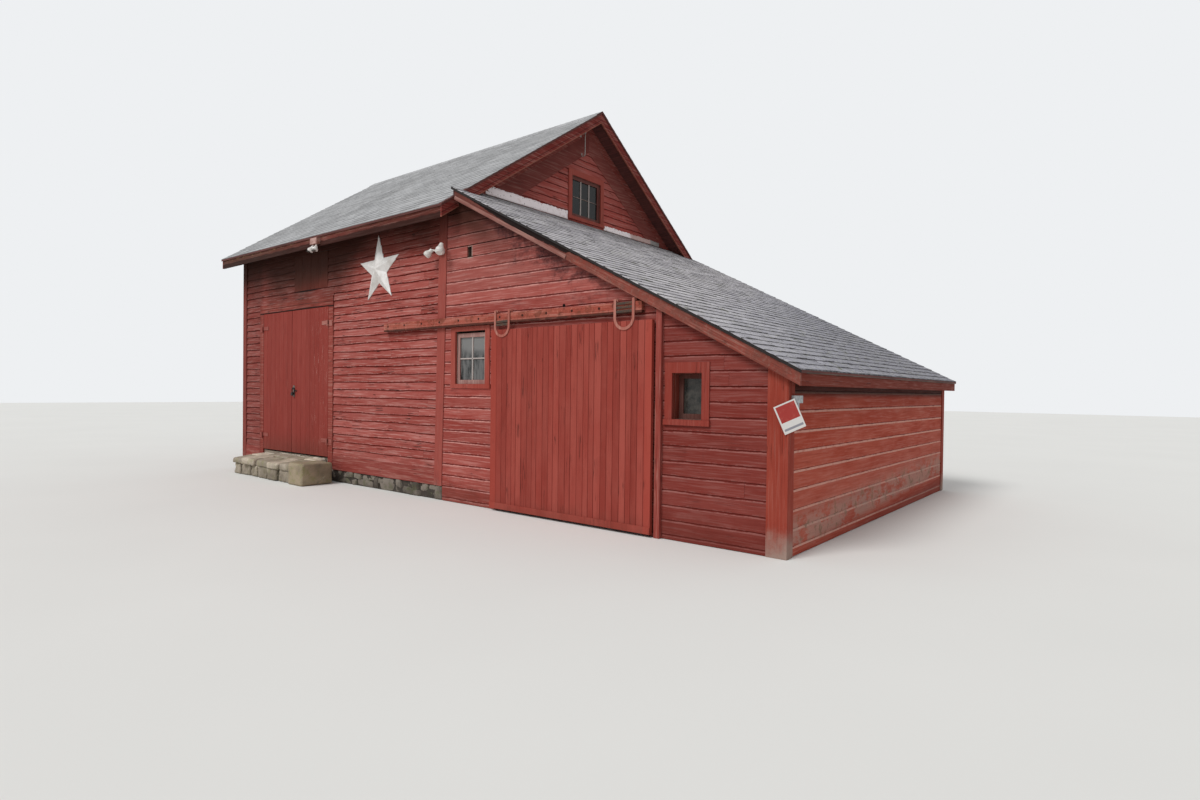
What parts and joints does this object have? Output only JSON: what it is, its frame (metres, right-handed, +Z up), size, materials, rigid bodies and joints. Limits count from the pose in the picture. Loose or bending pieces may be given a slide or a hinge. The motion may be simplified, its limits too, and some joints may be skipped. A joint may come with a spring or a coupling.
{
  "type": "barn",
  "caption": "Small red clapboard barn with a gabled main block, a lower lean-to, double hinged doors and a sliding door on an overhead track",
  "frame": {"origin": "middle of the plan, on the ground under the stone foundation and the lean-to walls", "axes": "+X runs along the front from the main block to the lean-to, +Y runs from the front doors to the back, +Z is up"},
  "size_m": [10.92, 6.66, 5.9156],
  "materials": {
    "stone": "rough",
    "floor_wood": "sawn",
    "step_stone": "rough",
    "red_siding": "painted and weathered",
    "lean_siding": "painted and weathered",
    "end_siding": "painted and weathered",
    "red_trim": "painted and weathered",
    "rake_red": "painted and weathered",
    "door_red": "painted and weathered",
    "main_shingle": "granular shingle",
    "lean_shingle": "granular shingle with lichen",
    "white_metal": "weathered",
    "hinge_paint": "painted and worn",
    "black_iron": "worn",
    "sash_paint": "painted and weathered",
    "glass": "dusty",
    "star_metal": "weathered",
    "lamp_white": "weathered",
    "outlet_grey": "weathered",
    "sign_red": "faded"
  },
  "bodies": {
    "barn": {"foundation_wall": "stone", "floor_joists": "floor_wood", "main_floor": "floor_wood", "door_step": "step_stone", "door_sill": "red_trim", "front_wall_left": "red_siding", "front_wall_head": "red_siding", "front_wall_right": "red_siding", "left_gable_wall": "red_siding", "back_wall": "red_siding", "right_gable_wall": "red_siding", "lean_front_left": "lean_siding", "lean_front_head": "lean_siding", "lean_front_right": "lean_siding", "lean_end_wall": "end_siding", "lean_back_wall": "lean_siding", "main_roof_front": "main_shingle", "main_roof_back": "main_shingle", "lean_roof": "lean_shingle", "main_rake_boards": "red_trim", "main_eave_fascias": "red_trim", "gable_friezes": "red_siding", "lean_rake_boards": "rake_red", "lean_eave_fascia": "red_trim", "gable_flashing": "white_metal", "corner_boards": "red_trim", "skirt_boards": "red_trim", "door_casing": "red_trim", "door_pintles": "hinge_paint", "loft_hatch": "door_red", "door_track": "red_trim", "door_post": "red_trim", "window_casings": "red_trim", "window_sashes": "sash_paint", "window_glass": "glass", "wall_star": "star_metal", "outdoor_lamps": "lamp_white", "outlet_box": "outlet_grey", "hanging_sign": "sign_red", "gable_hook": "black_iron"},
    "left_door": {"left_door_leaf": "door_red", "left_door_straps": "hinge_paint"},
    "right_door": {"right_door_leaf": "door_red", "right_door_straps": "hinge_paint", "door_latch": "black_iron"},
    "slide_door": {"sliding_door": "door_red", "door_hangers": "hinge_paint"}
  },
  "joints": [
    {"name": "left_door_hinge", "type": "hinge", "parent": "barn", "child": "left_door", "pos_m": [-4.392, -2.738, 1.5], "axis": [0, 0, -1], "range_deg": [0, 110]},
    {"name": "right_door_hinge", "type": "hinge", "parent": "barn", "child": "right_door", "pos_m": [-2.232, -2.738, 1.5], "axis": [0, 0, 1], "range_deg": [0, 110]},
    {"name": "sliding_door_track", "type": "slide", "parent": "barn", "child": "slide_door", "axis": [-1, 0, 0], "range_m": [0, 2.25]}
  ]
}
